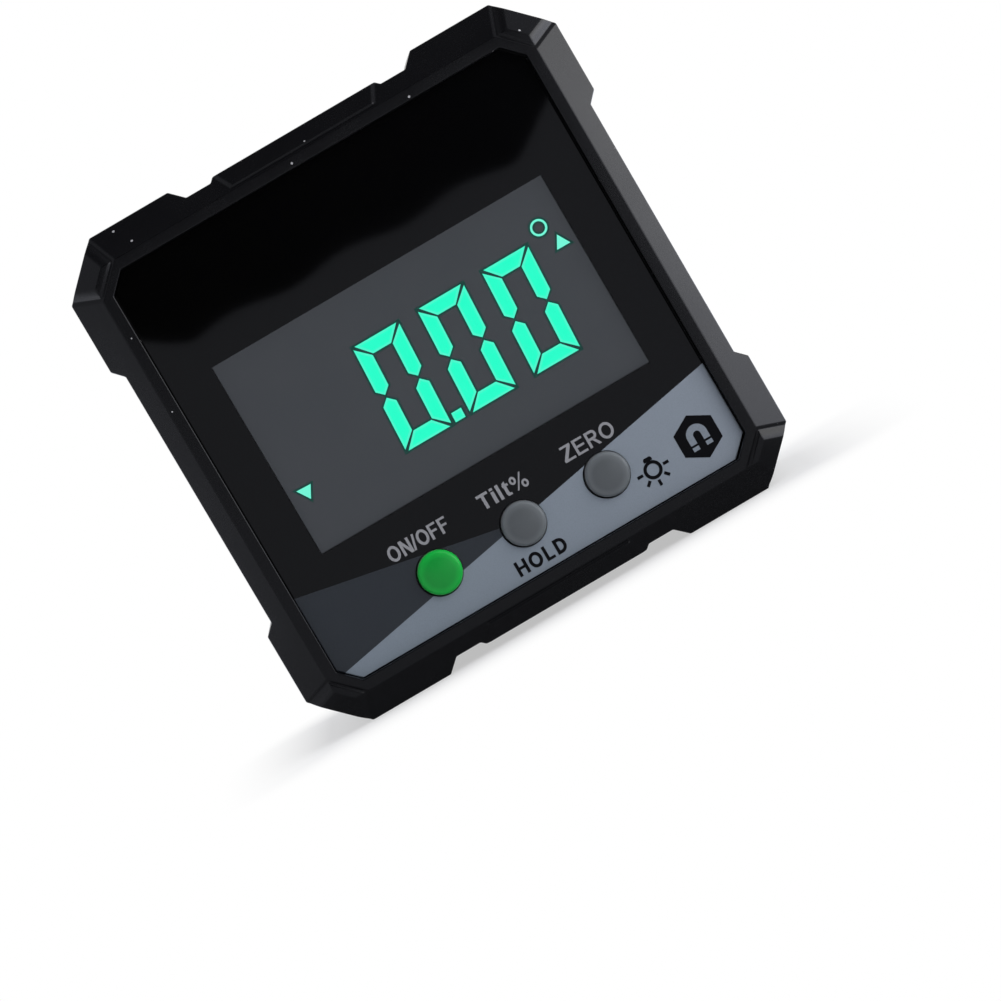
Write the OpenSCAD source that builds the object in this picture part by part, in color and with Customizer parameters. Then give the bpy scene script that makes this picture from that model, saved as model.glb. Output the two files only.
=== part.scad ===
// Digital angle gauge: a square box that stands on its magnetic base and reads out its own tilt.
// Millimetres. X runs to the right, Y from the display to the back, Z up from the base.

/* [Body] */
// Overall width, across the corner lugs
body_w = 60; // [58:1:70]
// Overall height, from the base to the top lugs
body_h = 60; // [58:1:70]
// Overall depth, from the front rim to the back
body_d = 28; // [27:0.5:34]
// Leg of the 45 degree cut at each corner
corner_cut = 5.3; // [4.5:0.1:6]
// Distance between the lugs along the top and along the base
lug_gap_w = 30; // [28:0.5:33]
// Depth of the notches beside the lugs, top and base
notch_depth = 1.5; // [1:0.1:1.8]
// Width of the raised centre band, top and base
band_w = 20; // [16:0.5:22]
// Height of the centre band over the notch floor
band_step = 0.5; // [0.3:0.1:0.8]
// Distance between the lugs along the left and right sides
lug_gap_h = 33; // [31:0.5:36]
// Depth of the recess between the side lugs
side_depth = 1.2; // [0.8:0.1:1.6]
// Thickness of the side walls at the recesses
wall = 2; // [1.6:0.1:2.4]
// Depth of the rear cover
rear_d = 12; // [11:0.5:13]
// Thickness of the back wall
back_wall = 2; // [1.5:0.1:2.5]

/* [Facets] */
// How far the front facets reach in from the outline
facet_run = 3.3; // [2.8:0.1:3.6]
// How far the front facets fall back
facet_drop = 3; // [2.4:0.1:3.6]
// Height of the pads on the corner facets
pad_h = 0.8; // [0.4:0.1:1]
// Bare strip around each corner pad
pad_margin = 0.35; // [0.2:0.05:0.6]
// Height of the centre bands on their facets
band_rise = 0.3; // [0.2:0.05:0.5]
// Width and depth of the rear facets
rear_facet = 2; // [1.2:0.1:2.4]

/* [Faceplate] */
// Width of the faceplate
lens_w = 50.6; // [49:0.1:51.4]
// Height of the faceplate
lens_h = 50.6; // [49:0.1:51.4]
// Leg of the faceplate's corner cuts
lens_cut = 2.1; // [1.5:0.1:3]
// Thickness of the faceplate
lens_t = 1.5; // [1:0.1:2]
// How deep the faceplate lies behind the rim
lens_recess = 1; // [0.6:0.1:1.3]
// Gap around the faceplate
lens_gap = 0.1; // [0.05:0.05:0.2]
// Thickness of the adhesive sheet behind the faceplate
tape_t = 0.2; // [0.1:0.05:0.3]
// Thickness of the wall that carries the faceplate
front_wall = 1.3; // [1:0.1:1.8]

/* [Display] */
// Width of the display's visible window
window_w = 40.8; // [38:0.1:42]
// Height of the display's visible window
window_h = 23.4; // [22:0.1:24.4]
// Border of the display glass around the window
glass_border = 2; // [1.4:0.1:2.2]
// Thickness of one of the two sheets of display glass
glass_t = 0.9; // [0.7:0.1:1.1]
// Height of the contact ledge at the glass's top edge
ledge_h = 2.4; // [2:0.1:3]
// Thickness of the backlight
backlight_t = 2.5; // [2.2:0.1:3]
// Thickness of the main board
board_t = 1.2; // [1:0.1:1.6]

/* [Buttons] */
// Diameter of a button
button_d = 4.9; // [4.4:0.1:5.4]
// Distance between neighbouring buttons
button_pitch = 10.4; // [9.6:0.1:11]
// Distance of the buttons below the middle of the face
button_below = 19.7; // [18.6:0.1:20.4]
// How far a button stands out of the faceplate
button_proud = 0.9; // [0.6:0.1:1]
// How far a button goes in
button_travel = 0.5; // [0.3:0.05:0.6]
// Radial gap around a button
button_gap = 0.15; // [0.1:0.05:0.25]
// Width of a switch under a button
switch_w = 6; // [5:0.1:6.5]

/* [Battery] */
// Diameter of an AAA cell
cell_d = 10.5; // [10:0.1:10.6]
// Length of an AAA cell
cell_l = 44.5; // [43.5:0.1:44.6]
// Length of a contact spring with the cells in
spring_l = 3; // [2.8:0.1:4]
// Thickness of the contact plates
contact_t = 0.4; // [0.3:0.05:0.5]
// Thickness of the battery door
door_t = 2.2; // [2:0.1:2.6]
// Sliding gap around the battery door
door_gap = 0.25; // [0.2:0.05:0.35]

/* [Fasteners and magnets] */
// Thread diameter of the case screws
case_screw_d = 2; // [1.8:0.1:2.2]
// Thread diameter of the board screws
board_screw_d = 1.6; // [1.4:0.1:1.8]
// Diameter of the base magnets
magnet_d = 8; // [6:0.1:8.4]
// Thickness of the base magnets
magnet_t = 2.4; // [1.6:0.1:2.4]

/* [Hidden] */
$fn = 48;
over = 1;
far = 100;
mid_z = body_h / 2;
side_x = body_w / 2 - side_depth;

// Depth stations, counted back from the front rim
lens_back = lens_recess + lens_t;
seat = lens_back + tape_t;
wall_in = seat + front_wall;
board_front = wall_in + 2 * glass_t + backlight_t;
board_rear = board_front + board_t;
part_t = body_d - rear_d;
door_in = body_d - door_t;
bay_rim = door_in - door_gap;

// Cavity behind the front wall: it clears the battery bay, in a narrow body at the cost of the wall
bay_clear = 0.3;
bay_wall = 1;
bay_w = (cell_l + spring_l + 2 * contact_t) / 2;
cavity_w = max(body_w / 2 - side_depth - wall, bay_w + bay_wall + bay_clear);
cavity_h = body_h / 2 - notch_depth - wall;
cavity_cut = 4;
lip_h = 1.2;
lip_t = 1;
lip_gap = 0.1;

// Facets: distance of the corner faces from the middle, and the slope's own length
corner_dist = (body_w / 2 + body_h / 2 - corner_cut) / sqrt(2);
slope_l = norm([facet_run, facet_drop]);
slope_a = atan2(facet_drop, facet_run);
corner_out = corner_cut / sqrt(2);
corner_in = corner_out - facet_run * tan(22.5);
band_taper = 28;

// Display glass, half width and half height, and the chips on the back of the board
glass_w = window_w / 2 + glass_border;
glass_h = window_h / 2 + glass_border;
zebra_gap = 0.3;
controller_w = 7;
controller_t = 1.2;
controller_x = -7.5;
sensor_w = 3;
sensor_t = 1;
chip_z = 17.5;
tape_inset = 0.5;

// Buttons and switches
button_hole_r = button_d / 2 + button_gap;
button_colors = ["forestgreen", "dimgray", "dimgray"];
flange_lap = 0.85;
flange_d = button_d + 2 * flange_lap;
flange_t = 1.2;
flange_gap = 0.3;
button_dome = 0.25;
button_round = 0.5;
plunger_front = wall_in + flange_gap + flange_t;
plunger_d = 3;
plunger_gap = 0.15;
switch_t = 2;
switch_front = board_front - switch_t;
plunger_stop = 0.3;
plunger_back = switch_front + plunger_stop;

// Battery bay
cell_gap = 0.15;
cell_room = 0.75;
cell_z = (cell_d + cell_gap) / 2;
bay_h = cell_z + cell_d / 2 + cell_gap;
cell_t = bay_rim - cell_room - cell_d / 2;
bay_floor = cell_t - cell_d / 2 - cell_gap;
bay_front = bay_floor - bay_wall;
cell_start = bay_w - contact_t - spring_l;
nub_d = 3.8;
nub_l = 0.8;
can_round = 0.4;
contact_w = 8;
contact_margin = 0.6;
tail_w = 2;
tail_gap = 0.2;
spring_wire = 0.5;
spring_turns = 4;
spring_big = 3.2;
spring_small = 2.2;
spring_gap = 0.05;

// Battery door and its rails
door_lap = 1.6;
door_end = 0.9;
door_half = bay_h + door_lap;
door_left = -(bay_w + door_end);
tongue_w = 1;
tongue_t = 1;
rail_wall = 1.5;
rail_front = door_in - rail_wall;
grip_count = 4;
grip_pitch = 1.6;
grip_w = 0.7;
grip_depth = 0.5;
grip_inset = 5;

// Screws
boss_inset = 3.7;
boss_x = cavity_w - boss_inset;
boss_z = cavity_h - boss_inset;
boss_r = 2.7;
screw_gap = 0.05;
case_head_d = 3.8;
case_head_h = 1.4;
case_sink = 4;
case_bite = 6;
column_r = 3;
hole_gap = 0.15;
post_r = 1.6;
post_gap = 1.2;
post_x = cavity_w - post_r - post_gap;
post_z = (glass_h + boss_z - boss_r) / 2;
board_head_d = 3.2;
board_head_h = 1.1;
board_bite = 3;
board_gap = 0.9;
slot_w = 0.5;
slot_depth = 0.6;

// Magnets
magnet_x = (lug_gap_w / 2 + body_w / 2 - corner_cut) / 2;
magnet_ts = [(facet_drop + part_t) / 2, (part_t + body_d - rear_facet) / 2];
magnet_gap = 0.05;
magnet_sink = 0.1;

// Shapes drawn in X and Z, made solid between two depths
module slab(t0, t1) {
    translate([0, t1 - body_d / 2, 0]) rotate([90, 0, 0]) linear_extrude(t1 - t0) children();
}

// Round shapes drawn about the depth axis, whose own Z is minus the depth
module at(x, z) {
    translate([x, -body_d / 2, mid_z + z]) rotate([90, 0, 0]) children();
}

module rod(t0, t1, r) {
    translate([0, 0, -t1]) cylinder(h = t1 - t0, r = r);
}

module block(x0, x1, z0, z1, t0, t1) {
    translate([x0, t0 - body_d / 2, mid_z + z0]) cube([x1 - x0, t1 - t0, z1 - z0]);
}

module octagon(half_w, half_h, cut) {
    translate([0, mid_z]) polygon([
        [half_w - cut, half_h], [half_w, half_h - cut], [half_w, cut - half_h], [half_w - cut, -half_h],
        [cut - half_w, -half_h], [-half_w, cut - half_h], [-half_w, half_h - cut], [cut - half_w, half_h]]);
}

// One quarter of the outline, from the top band to the right-hand recess, measured from the middle
quarter = [
    [band_w / 2, body_h / 2 - notch_depth + band_step],
    [band_w / 2 + band_step, body_h / 2 - notch_depth],
    [lug_gap_w / 2 - notch_depth, body_h / 2 - notch_depth],
    [lug_gap_w / 2, body_h / 2],
    [body_w / 2 - corner_cut, body_h / 2],
    [body_w / 2, body_h / 2 - corner_cut],
    [body_w / 2, lug_gap_h / 2],
    [side_x, lug_gap_h / 2 - side_depth]];
function flip(points, sx, sz) = [for (i = [len(points) - 1 : -1 : 0]) [points[i].x * sx, points[i].y * sz]];
right_half = concat(quarter, flip(quarter, 1, -1));

module outline() {
    translate([0, mid_z]) polygon(concat(right_half, flip(right_half, -1, 1)));
}

// A pad that lies on a facet: X down the slope from the rim, minus Y out of the face, Z along it
module facet_pad(half_in, flare, rise) {
    difference() {
        translate([pad_margin, -rise, -far / 2]) cube([slope_l + over, rise + over / 2, far]);
        translate([pad_margin, 0, -far / 2]) rotate([0, 0, -45]) translate([-far, -far, 0])
            cube([far, 2 * far, far]);
        for (side = [0, 1]) mirror([0, 0, side]) translate([0, 0, half_in]) rotate([0, -flare, 0])
            rotate([45, 0, 0]) translate([-far / 2, -far, 0]) cube([far, 2 * far, far]);
    }
}

// What a facet takes off the body: face is the distance of the outline's side from the middle
module facet_cut(angle, face, half_in, flare, rise) {
    translate([0, -body_d / 2, mid_z]) rotate([0, -angle, 0]) translate([face - facet_run, 0, 0])
        rotate([0, 0, slope_a]) difference() {
            translate([-far / 2, -far, -far / 2]) cube([far, far, far]);
            if (rise > 0) facet_pad(half_in, flare, rise);
        }
}

module front_facets() {
    corner_flare = atan((corner_out - corner_in) / slope_l);
    band_flare = atan(tan(band_taper) * facet_run / slope_l);
    band_in = band_w / 2 - (facet_run - notch_depth + band_step) * tan(band_taper);
    for (angle = [0, 180]) facet_cut(angle, body_w / 2, 0, 0, 0);
    for (angle = [90, 270]) facet_cut(angle, body_h / 2, band_in, band_flare, band_rise);
    for (angle = [45 : 90 : 315]) facet_cut(angle, corner_dist, corner_in - pad_margin, corner_flare, pad_h);
}

module rear_facets() {
    for (i = [0 : 7]) {
        face = [body_w / 2, corner_dist, body_h / 2, corner_dist][i % 4];
        translate([0, body_d / 2, mid_z]) rotate([0, -45 * i, 0]) translate([face - rear_facet, 0, 0])
            rotate([0, 0, -45]) translate([-far / 2, 0, -far / 2]) cube([far, far, far]);
    }
}

module corners(x, z) {
    for (sx = [-1, 1]) for (sz = [-1, 1]) at(sx * x, sz * z) children();
}

module buttons_at() {
    for (i = [-1 : 1]) at(i * button_pitch, -button_below) children();
}

module magnet_pockets(depth) {
    pocket_r = magnet_d / 2 + magnet_gap;
    for (side = [-1, 1]) translate([side * magnet_x, depth - body_d / 2, -over])
        cylinder(h = magnet_t + magnet_sink + magnet_gap + over, r = pocket_r);
}

module front_housing() {
    color("#1c1d21") difference() {
        union() {
            difference() {
                slab(0, part_t) outline();
                front_facets();
                slab(wall_in, part_t + over) octagon(cavity_w, cavity_h, cavity_cut);
            }
            corners(boss_x, boss_z) rod(wall_in - over, part_t, boss_r);
            corners(post_x, post_z) rod(wall_in - over, board_front, post_r);
        }
        slab(-over, seat) octagon(lens_w / 2 + lens_gap, lens_h / 2 + lens_gap, lens_cut);
        block(-window_w / 2, window_w / 2, -window_h / 2, window_h / 2, 0, wall_in + over);
        buttons_at() rod(0, wall_in + over, button_hole_r);
        corners(boss_x, boss_z) rod(part_t - case_bite - over, part_t + over, case_screw_d / 2 + screw_gap);
        corners(post_x, post_z)
            rod(board_front - board_bite - over / 2, board_front + over, board_screw_d / 2 + screw_gap);
        magnet_pockets(magnet_ts[0]);
    }
}

module door_path(gap, x_end) {
    half = door_half + gap;
    block(door_left - gap, x_end, -half, half, door_in - gap, body_d + over);
    block(door_left - gap, x_end, -half - tongue_w, half + tongue_w, door_in - gap, door_in + tongue_t + gap);
}

module rear_blank(t0) {
    difference() {
        slab(t0, body_d) outline();
        rear_facets();
    }
}

module contact_slots() {
    for (side = [-1, 1])
        block(-bay_w - tail_gap, -bay_w + contact_t + tail_gap, side * cell_z - tail_w / 2 - tail_gap,
            side * cell_z + tail_w / 2 + tail_gap, bay_front - over, bay_floor + over);
}

module rear_cover() {
    rail_half = door_half + tongue_w + door_gap + rail_wall;
    color("#1a1b1e") difference() {
        union() {
            difference() {
                rear_blank(part_t);
                slab(part_t - over, body_d - back_wall) octagon(cavity_w, cavity_h, cavity_cut);
            }
            difference() {
                union() {
                    slab(part_t - lip_h, part_t + lip_h)
                        octagon(cavity_w - lip_gap, cavity_h - lip_gap, cavity_cut);
                    slab(part_t, part_t + lip_h) octagon(cavity_w, cavity_h, cavity_cut);
                }
                slab(part_t - lip_h - over, part_t + lip_h + over)
                    octagon(cavity_w - lip_gap - lip_t, cavity_h - lip_gap - lip_t, cavity_cut);
                corners(boss_x, boss_z) rod(part_t - lip_h - over, part_t, boss_r + lip_gap);
            }
            block(-bay_w - bay_wall, bay_w + bay_wall, -bay_h - bay_wall, bay_h + bay_wall, bay_front,
                body_d - back_wall / 2);
            intersection() {
                rear_blank(rail_front);
                block(-side_x, side_x, -rail_half, rail_half, rail_front, body_d);
            }
            corners(boss_x, boss_z) rod(part_t, body_d - back_wall / 2, column_r);
        }
        block(-bay_w, bay_w, -bay_h, bay_h, bay_floor, body_d + over);
        door_path(door_gap, body_w);
        contact_slots();
        corners(boss_x, boss_z) rod(part_t - over, body_d, case_screw_d / 2 + hole_gap);
        corners(boss_x, boss_z) rod(body_d - case_sink, body_d + over, case_head_d / 2 + hole_gap);
        magnet_pockets(magnet_ts[1]);
    }
}

module faceplate_lens() {
    color("#0c0d0e") difference() {
        slab(lens_recess, lens_back) octagon(lens_w / 2, lens_h / 2, lens_cut);
        buttons_at() rod(0, wall_in, button_hole_r);
    }
}

module lens_tape() {
    window_x = window_w / 2 + tape_inset;
    window_z = window_h / 2 + tape_inset;
    color("#303030") difference() {
        slab(lens_back, seat) octagon(lens_w / 2 - tape_inset, lens_h / 2 - tape_inset, lens_cut);
        block(-window_x, window_x, -window_z, window_z, 0, wall_in);
        buttons_at() rod(0, wall_in, button_hole_r + tape_inset);
    }
}

module lcd_panel() {
    color("#44474c") union() {
        block(-glass_w, glass_w, -glass_h, glass_h, wall_in, wall_in + glass_t);
        block(-glass_w, glass_w, -glass_h, glass_h - ledge_h, wall_in + glass_t / 2, wall_in + 2 * glass_t);
    }
}

module backlight() {
    color("#d8e8e0")
        block(-glass_w, glass_w, -glass_h, glass_h - ledge_h, wall_in + 2 * glass_t, board_front);
}

module zebra_strip() {
    half = glass_w - zebra_gap;
    low = glass_h - ledge_h + zebra_gap;
    color("#2a2a30") block(-half, half, low, glass_h - zebra_gap, wall_in + glass_t, board_front);
}

module main_board() {
    half_w = cavity_w - board_gap;
    half_h = cavity_h - board_gap;
    notch_x = boss_x - boss_r - board_gap / 2;
    notch_z = boss_z - boss_r - board_gap / 2;
    color("#14532d") difference() {
        block(-half_w, half_w, -half_h, half_h, board_front, board_rear);
        for (sx = [-1, 1]) for (sz = [-1, 1])
            block(sx > 0 ? notch_x : -far, sx > 0 ? far : -notch_x, sz > 0 ? notch_z : -far,
                sz > 0 ? far : -notch_z, board_front - over, board_rear + over);
        corners(post_x, post_z) rod(board_front - over, board_rear + over, board_screw_d / 2 + hole_gap);
    }
}

// A square chip on the back of the board
module chip(x, width, height) {
    half = width / 2;
    block(x - half, x + half, chip_z - half, chip_z + half, board_rear, board_rear + height);
}

module controller_chip() {
    color("#202020") chip(controller_x, controller_w, controller_t);
}

module tilt_sensor() {
    color("#2c2c30") chip(0, sensor_w, sensor_t);
}

module switch_bodies() {
    well = plunger_stop + button_travel + plunger_gap;
    color("#2f2f33") for (i = [-1 : 1]) difference() {
        block(i * button_pitch - switch_w / 2, i * button_pitch + switch_w / 2, -button_below - switch_w / 2,
            switch_w / 2 - button_below, switch_front, board_front);
        at(i * button_pitch, -button_below)
            rod(switch_front - over, switch_front + well, plunger_d / 2 + plunger_gap);
    }
}

module button(i) {
    top = button_proud - lens_recess;
    r = button_d / 2;
    flat_r = r - button_round;
    edge = top - button_dome - button_round;
    step = flange_t - plunger_front;
    foot = [[0, -plunger_front], [flange_d / 2, -plunger_front], [flange_d / 2, step], [r, step]];
    arc = [for (a = [0 : 15 : 75]) [flat_r + button_round * cos(a), edge + button_round * sin(a)]];
    dome = [for (s = [1 : -0.25 : 0]) [flat_r * s, top - button_dome * s * s]];
    color(button_colors[i + 1]) at(i * button_pitch, -button_below) rotate_extrude()
        polygon(concat(foot, arc, dome));
}

module power_button() {
    button(-1);
}

module tilt_button() {
    button(0);
}

module zero_button() {
    button(1);
}

module plunger(i) {
    color("#c8c8c0") at(i * button_pitch, -button_below) rod(plunger_front, plunger_back, plunger_d / 2);
}

module power_plunger() {
    plunger(-1);
}

module tilt_plunger() {
    plunger(0);
}

module zero_plunger() {
    plunger(1);
}

// An AAA cell that lies along X with its flat end at the origin
module cell() {
    r = cell_d / 2;
    can_l = cell_l - nub_l;
    rotate([0, 90, 0]) rotate_extrude() polygon([
        [0, 0], [r - can_round, 0], [r, can_round], [r, can_l - can_round], [r - can_round, can_l],
        [nub_d / 2, can_l], [nub_d / 2, cell_l], [0, cell_l]]);
}

module upper_cell() {
    color("#2a6f4f") translate([-cell_start, cell_t - body_d / 2, mid_z + cell_z]) cell();
}

module lower_cell() {
    color("#2a6f4f") translate([cell_start, cell_t - body_d / 2, mid_z - cell_z]) mirror([1, 0, 0]) cell();
}

module terminal(z) {
    half = contact_w / 2;
    block(-bay_w, contact_t - bay_w, z - half, z + half, bay_floor, bay_rim - contact_margin);
    block(-bay_w, contact_t - bay_w, z - tail_w / 2, z + tail_w / 2, board_rear, bay_floor + over);
}

module negative_terminal() {
    color("#b8bcc0") union() terminal(cell_z);
}

module positive_terminal() {
    color("#b8bcc0") union() terminal(-cell_z);
}

module cell_bridge() {
    half = cell_z + contact_w / 2;
    color("#b8bcc0") block(bay_w - contact_t, bay_w, -half, half, bay_floor, bay_rim - contact_margin);
}

// A conical coil along X, its wide end at the origin
coil_steps = 14;
coil_sides = 6;
function coil_ring(u, turns, length) =
    let (a = 360 * turns * u, r = spring_big + (spring_small - spring_big) * u)
    let (x = spring_wire / 2 + (length - spring_wire) * u)
    [for (k = [0 : coil_sides - 1])
        let (b = 360 * k / coil_sides, q = r + spring_wire / 2 * cos(b))
        [x + spring_wire / 2 * sin(b), q * cos(a), q * sin(a)]];

module coil(length) {
    rings = coil_steps * spring_turns;
    points = [for (i = [0 : rings]) each coil_ring(i / rings, spring_turns, length)];
    walls = [for (i = [0 : rings - 1]) for (k = [0 : coil_sides - 1])
        let (n = (k + 1) % coil_sides)
        [i * coil_sides + k, (i + 1) * coil_sides + k, (i + 1) * coil_sides + n, i * coil_sides + n]];
    first = [for (k = [0 : coil_sides - 1]) k];
    last = [for (k = [coil_sides - 1 : -1 : 0]) rings * coil_sides + k];
    polyhedron(points, concat(walls, [first, last]), 4);
}

module contact_springs() {
    length = spring_l - 2 * spring_gap;
    start = bay_w - contact_t - spring_gap;
    color("#c4c8cc") {
        translate([-start, cell_t - body_d / 2, mid_z + cell_z]) coil(length);
        translate([start, cell_t - body_d / 2, mid_z - cell_z]) rotate([0, 0, 180]) coil(length);
    }
}

module battery_door() {
    color("#1a1b1e") difference() {
        intersection() {
            rear_blank(door_in - over);
            door_path(0, body_w);
        }
        for (i = [0 : grip_count - 1]) {
            x = side_x - rear_facet - grip_inset - i * grip_pitch;
            block(x, x + grip_w, -door_half / 2, door_half / 2, body_d - grip_depth, body_d + over);
        }
    }
}

module cross_slot(depth) {
    slot_l = case_head_d * 2 / 3;
    for (turn = [0, 90]) rotate([0, 0, turn]) translate([-slot_l / 2, -slot_w / 2, -depth - over])
        cube([slot_l, slot_w, slot_depth + over]);
}

module case_screws() {
    head_t = body_d - case_sink;
    color("#8a8d92") corners(boss_x, boss_z) difference() {
        union() {
            rod(part_t - case_bite, head_t, case_screw_d / 2);
            rod(head_t, head_t + case_head_h, case_head_d / 2);
        }
        cross_slot(head_t + case_head_h);
    }
}

module board_screws() {
    color("#8a8d92") corners(post_x, post_z) union() {
        rod(board_front - board_bite, board_rear, board_screw_d / 2);
        rod(board_rear, board_rear + board_head_h, board_head_d / 2);
    }
}

module base_magnets() {
    color("#c0c4c8") for (depth = magnet_ts) for (side = [-1, 1])
        translate([side * magnet_x, depth - body_d / 2, magnet_sink]) cylinder(h = magnet_t, d = magnet_d);
}

front_housing();
rear_cover();
faceplate_lens();
lens_tape();
lcd_panel();
backlight();
zebra_strip();
main_board();
controller_chip();
tilt_sensor();
switch_bodies();
power_button();
tilt_button();
zero_button();
power_plunger();
tilt_plunger();
zero_plunger();
upper_cell();
lower_cell();
negative_terminal();
positive_terminal();
cell_bridge();
contact_springs();
battery_door();
case_screws();
board_screws();
base_magnets();
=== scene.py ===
import bmesh
import bpy
import math
from mathutils import Matrix, Vector


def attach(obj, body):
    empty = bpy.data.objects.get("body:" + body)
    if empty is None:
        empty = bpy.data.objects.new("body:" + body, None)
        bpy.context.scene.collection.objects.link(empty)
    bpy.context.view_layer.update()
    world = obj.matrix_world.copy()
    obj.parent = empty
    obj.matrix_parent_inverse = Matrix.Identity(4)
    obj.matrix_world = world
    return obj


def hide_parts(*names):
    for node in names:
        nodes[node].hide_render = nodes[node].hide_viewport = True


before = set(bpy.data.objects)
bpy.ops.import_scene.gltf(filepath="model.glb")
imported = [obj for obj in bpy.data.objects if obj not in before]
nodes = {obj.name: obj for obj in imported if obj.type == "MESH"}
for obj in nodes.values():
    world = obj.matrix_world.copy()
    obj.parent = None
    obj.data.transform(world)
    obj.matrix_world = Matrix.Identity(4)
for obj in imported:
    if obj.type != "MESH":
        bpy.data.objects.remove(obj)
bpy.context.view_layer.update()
scene = bpy.context.scene
scene.view_settings.view_transform = "Standard"
mm = 0.001
midHeight = 30.0  # middle of the face above the base, in mm
print("frame loaded,", len(nodes), "nodes")


# Shader sums: a socket that takes part in plain Python expressions
class Wire:
    def __init__(self, tree, socket):
        self.tree = tree
        self.socket = socket

    def reckon(self, operation, first, second=0.0):
        made = self.tree.nodes.new("ShaderNodeMath")
        made.operation = operation
        for place, value in zip(made.inputs, (first, second)):
            if isinstance(value, Wire):
                self.tree.links.new(value.socket, place)
            else:
                place.default_value = value
        return Wire(self.tree, made.outputs[0])

    def __add__(self, other):
        return self.reckon("ADD", self, other)

    def __radd__(self, other):
        return self.reckon("ADD", other, self)

    def __sub__(self, other):
        return self.reckon("SUBTRACT", self, other)

    def __rsub__(self, other):
        return self.reckon("SUBTRACT", other, self)

    def __mul__(self, other):
        return self.reckon("MULTIPLY", self, other)

    def __rmul__(self, other):
        return self.reckon("MULTIPLY", other, self)

    def __pow__(self, other):
        return self.reckon("POWER", self, other)

    def __lt__(self, other):
        return self.reckon("LESS_THAN", self, other)

    def __gt__(self, other):
        return self.reckon("GREATER_THAN", self, other)

    def __abs__(self):
        return self.reckon("ABSOLUTE", self)


# A node tree with one method for every other node
class Finish:
    def __init__(self, name, fixed=None, world=False):
        home = bpy.data.worlds if world else bpy.data.materials
        self.block = home.new(name)
        self.block.use_nodes = True
        self.tree = self.block.node_tree
        self.shader = self.tree.nodes.get("Principled BSDF")
        self.output = self.tree.nodes["World Output" if world else "Material Output"]
        for key, value in (fixed or {}).items():
            self.shader.inputs[key].default_value = value

    def node(self, kind, settings=None, inputs=None, out=0):
        made = self.tree.nodes.new("ShaderNode" + kind)
        for key, value in (settings or {}).items():
            setattr(made, key, value)
        for key, value in (inputs or {}).items():
            self.plug(made.inputs[key], value)
        return Wire(self.tree, made.outputs[out])

    def plug(self, place, value):
        if isinstance(value, Wire):
            self.tree.links.new(value.socket, place)
        else:
            place.default_value = value

    def feed(self, name, value):
        self.plug(self.shader.inputs[name], value)

    def show(self, seen):
        self.plug(self.output.inputs["Surface"], seen)

    def place(self):
        return self.node("TexCoord", out="Object")

    def apart(self, vector):
        split = self.node("SeparateXYZ", None, {0: vector}).socket.node
        return [Wire(self.tree, socket) for socket in split.outputs]

    def axes(self):
        return self.apart(self.place())

    # Whether a ray comes from the camera, from a mirror or through something clear
    def rays(self):
        kinds = self.node("LightPath").socket.node.outputs
        return [Wire(self.tree, kinds["Is %s Ray" % kind]) for kind in ("Camera", "Glossy", "Transmission")]

    def noise(self, size, detail):
        values = {"Vector": self.place(), "Scale": 1 / size, "Detail": detail}
        return self.node("TexNoise", None, values, "Fac")

    def mix(self, first, second, share):
        return self.node("Mix", {"data_type": "RGBA"}, {0: share, 6: first, 7: second}, 2)

    def most(self, first, second):
        return self.node("Math", {"operation": "MAXIMUM"}, {0: first, 1: second})

    def bump(self, height, depth, strength):
        values = {"Strength": strength, "Distance": depth, "Height": height}
        self.feed("Normal", self.node("Bump", None, values))


# Screen colour, 0 to 255, times a share, as the linear colour that a socket takes
def ink(colour, share=1.0):
    def linear(c):
        return c / 3294.6 if c < 11 else ((c / 255 + 0.055) / 1.055) ** 2.4
    return (*[linear(c * share) for c in colour], 1.0)


# Copies of solids: merged within weld, flat within flatAngle, rounded where sharper than sharpAngle
copying = {"weld": 0.002 * mm, "flatAngle": 0.6, "sharpAngle": 18, "edgeSteps": 2}
# Flat drawings, in mm
drawing = {"weld": 0.001, "ringSteps": 48}


def mergedCopy(nodeName, flat=True):
    bm = bmesh.new()
    bm.from_mesh(nodes[nodeName].data)
    bmesh.ops.remove_doubles(bm, verts=bm.verts, dist=copying["weld"])
    if flat:
        limit = math.radians(copying["flatAngle"])
        bmesh.ops.dissolve_limit(bm, angle_limit=limit, verts=bm.verts, edges=bm.edges)
    return bm


# Rounds the sharp edges that chosen picks by their middles, in mm, with z from the middle of the face
def soften(bm, width, chosen, leastAngle=copying["sharpAngle"]):
    picked = []
    for edge in bm.edges:
        middle = (edge.verts[0].co + edge.verts[1].co) / 2 / mm
        sharp = edge.is_manifold and edge.calc_face_angle(0) > math.radians(leastAngle)
        if sharp and chosen(middle.x, middle.y, middle.z - midHeight):
            picked.append(edge)
    bmesh.ops.bevel(bm, geom=picked, offset=width, offset_type="OFFSET", segments=copying["edgeSteps"],
                    profile=0.5, affect="EDGES", clamp_overlap=False, material=-1, loop_slide=True)


def meshObject(name, bm, finishes):
    mesh = bpy.data.meshes.new(name)
    bm.to_mesh(mesh)
    bm.free()
    for finish in finishes:
        mesh.materials.append(finish.block)
    piece = bpy.data.objects.new(name, mesh)
    scene.collection.objects.link(piece)
    return piece


def newPiece(name, bm, finishes, body="gauge", stands=(), smooth=None, even=False):
    piece = meshObject(name, bm, finishes)
    if smooth:
        piece.data.shade_smooth()
        piece.data.set_sharp_from_angle(angle=math.radians(smooth))
    if even:
        shade = piece.modifiers.new("evenShade", "WEIGHTED_NORMAL")
        shade.keep_sharp = True
    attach(piece, body)
    if stands:
        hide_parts(*stands)


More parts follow.
